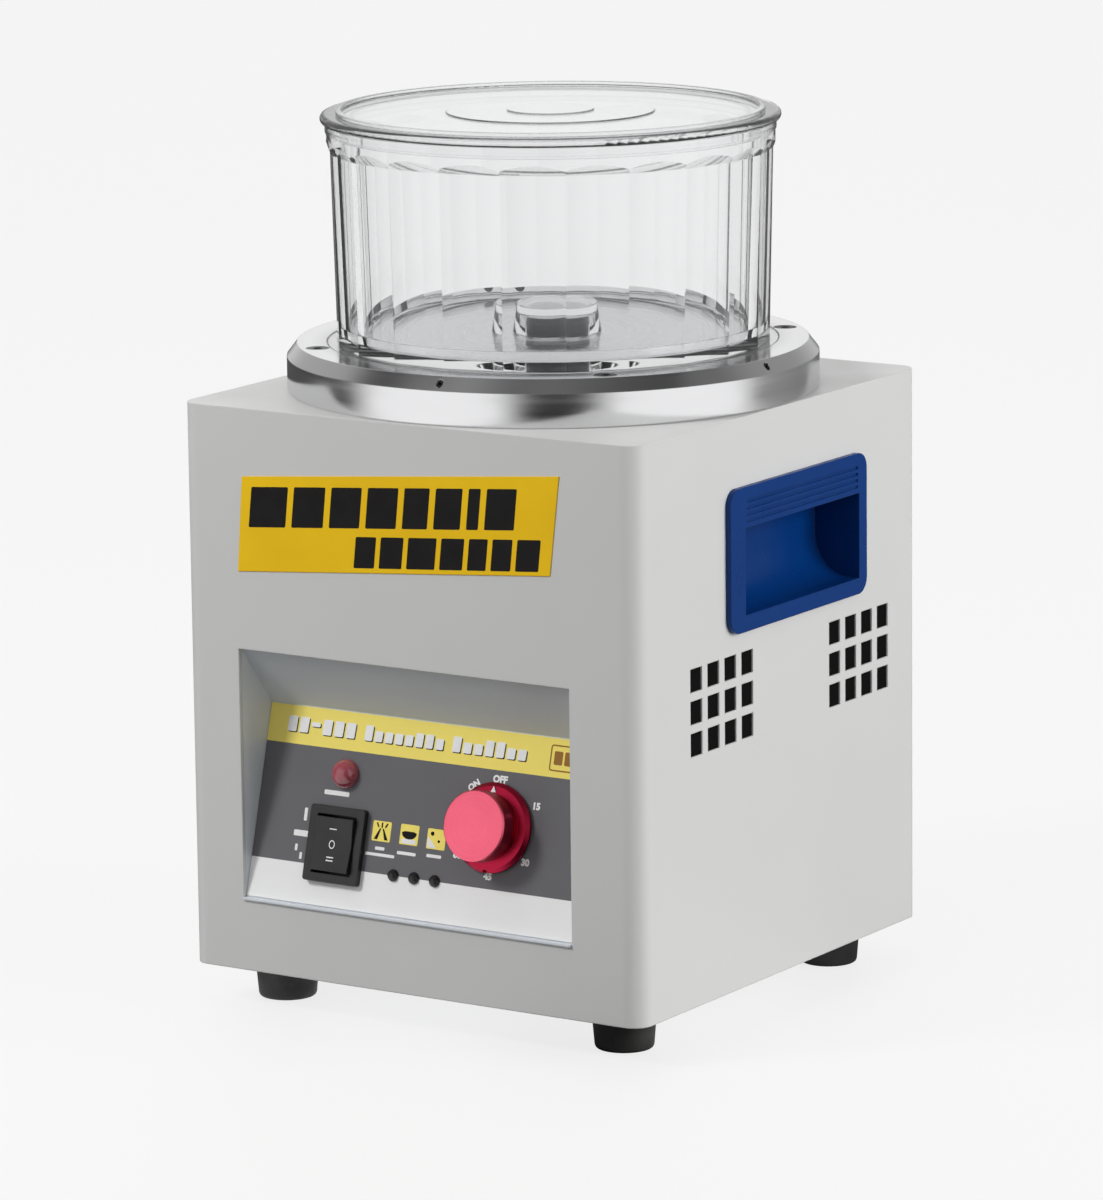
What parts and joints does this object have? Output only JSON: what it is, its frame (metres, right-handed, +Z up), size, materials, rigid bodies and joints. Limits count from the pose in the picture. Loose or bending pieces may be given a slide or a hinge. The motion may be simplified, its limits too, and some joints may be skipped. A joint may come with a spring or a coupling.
{
  "type": "magnetic tumbler",
  "caption": "Bench-top magnetic tumbler: sheet-metal cabinet with a sloping control panel, side grips, a turned ring and a clear lidded bowl that lifts off.",
  "frame": {"origin": "on the floor under the axis of the bowl, ring and motor, at the middle of the footprint", "axes": "+Z up, -Y towards the user at the control panel, +X to the user's right"},
  "size_m": [0.2362, 0.2464, 0.386],
  "materials": {
    "cabinet_paint": "warm light grey powder coat with a fine texture",
    "recess_paint": "the same powder coat, slightly smoother",
    "overlay_print": "printed polycarbonate overlay, dark grey with a yellow strip and a pale strip",
    "label_print": "yellow vinyl badge with plain black bars",
    "turned_aluminium": "fine turned aluminium",
    "brushed_deck": "brushed stainless steel",
    "zinc_steel": "zinc-plated steel",
    "black_steel": "black oxide steel",
    "rubber_black": "black moulded rubber",
    "black_plastic": "black moulded nylon",
    "red_lens": "clear red lens",
    "red_anodised": "red anodised turned aluminium",
    "timer_case": "cream moulded plastic",
    "blue_plastic": "deep blue moulded plastic",
    "clear_plastic": "clear moulded polycarbonate",
    "shaft_steel": "ground bearing steel",
    "cast_alloy": "machined cast aluminium",
    "motor_paint": "dark grey painted steel",
    "lamination": "stacked electrical steel",
    "winding_copper": "varnished copper winding",
    "magnet_nickel": "nickel-plated magnets",
    "brass_parts": "brass",
    "fuse_glass": "glass tube fuse",
    "board_green": "green circuit board",
    "component_blue": "moulded electronic parts",
    "capacitor_can": "aluminium can",
    "wire_black": "insulated wire"
  },
  "bodies": {
    "cabinet": {"housing_shell": "cabinet_paint", "rear_panel": "cabinet_paint", "control_panel": "recess_paint", "panel_overlay": "overlay_print", "front_label": "label_print", "bowl_ring": "turned_aluminium", "deck_plate": "brushed_deck", "centre_boss": "brushed_deck", "base_plate": "zinc_steel", "foot_screws": "zinc_steel", "foot_nuts": "zinc_steel", "base_screws": "zinc_steel", "rear_panel_screws": "zinc_steel", "ring_nuts": "zinc_steel", "motor_screws": "zinc_steel", "inlet_screws": "zinc_steel", "capacitor_clip": "zinc_steel", "motor_spacers": "zinc_steel", "motor_plate": "zinc_steel", "ring_screws": "black_steel", "ring_grub_screws": "black_steel", "foot_front_left": "rubber_black", "foot_front_right": "rubber_black", "foot_rear_left": "rubber_black", "foot_rear_right": "rubber_black", "switch_body": "black_plastic", "lamp_body": "black_plastic", "status_leds": "black_plastic", "mains_inlet": "black_plastic", "power_lamp": "red_lens", "timer_body": "timer_case", "handle_left": "blue_plastic", "handle_right": "blue_plastic", "bearing_upper": "shaft_steel", "bearing_lower": "shaft_steel", "motor_cap_top": "cast_alloy", "motor_cap_bottom": "cast_alloy", "motor_can": "motor_paint", "stator_core": "lamination", "stator_windings": "winding_copper", "inlet_pins": "brass_parts", "board_standoffs": "brass_parts", "control_board": "board_green", "board_components": "component_blue", "run_capacitor": "capacitor_can", "wiring_harness": "wire_black"},
    "bowl": {"bowl": "clear_plastic"},
    "lid": {"lid": "clear_plastic"},
    "rotor": {"motor_shaft": "shaft_steel", "motor_rotor": "lamination", "magnet_disc": "cast_alloy", "magnets": "magnet_nickel", "hub_set_screw": "black_steel", "cooling_fan": "black_plastic"},
    "timer": {"timer_knob": "red_anodised", "timer_spindle": "shaft_steel", "knob_set_screw": "black_steel"},
    "rocker": {"switch_rocker": "black_plastic"},
    "fuse_holder": {"fuse_drawer": "black_plastic", "fuse": "fuse_glass"}
  },
  "joints": [
    {"name": "bowl_lift", "type": "slide", "parent": "cabinet", "child": "bowl", "axis": [0, 0, 1], "range_m": [0, 0.12]},
    {"name": "lid_lift", "type": "slide", "parent": "bowl", "child": "lid", "axis": [0, 0, 1], "range_m": [0, 0.08]},
    {"name": "rotor_spin", "type": "hinge", "parent": "cabinet", "child": "rotor", "pos_m": [0, 0, 0.2], "axis": [0, 0, 1], "continuous": true},
    {"name": "timer_turn", "type": "hinge", "parent": "cabinet", "child": "timer", "pos_m": [0.0349, -0.10372, 0.09261], "axis": [0, 0.9659, -0.2588], "range_deg": [-40, 240]},
    {"name": "rocker_tilt", "type": "hinge", "parent": "cabinet", "child": "rocker", "pos_m": [-0.043, -0.10844, 0.0769], "axis": [1, 0, 0], "range_deg": [-10, 10]},
    {"name": "fuse_pull", "type": "slide", "parent": "cabinet", "child": "fuse_holder", "axis": [0, 1, 0], "range_m": [0, 0.022]}
  ]
}
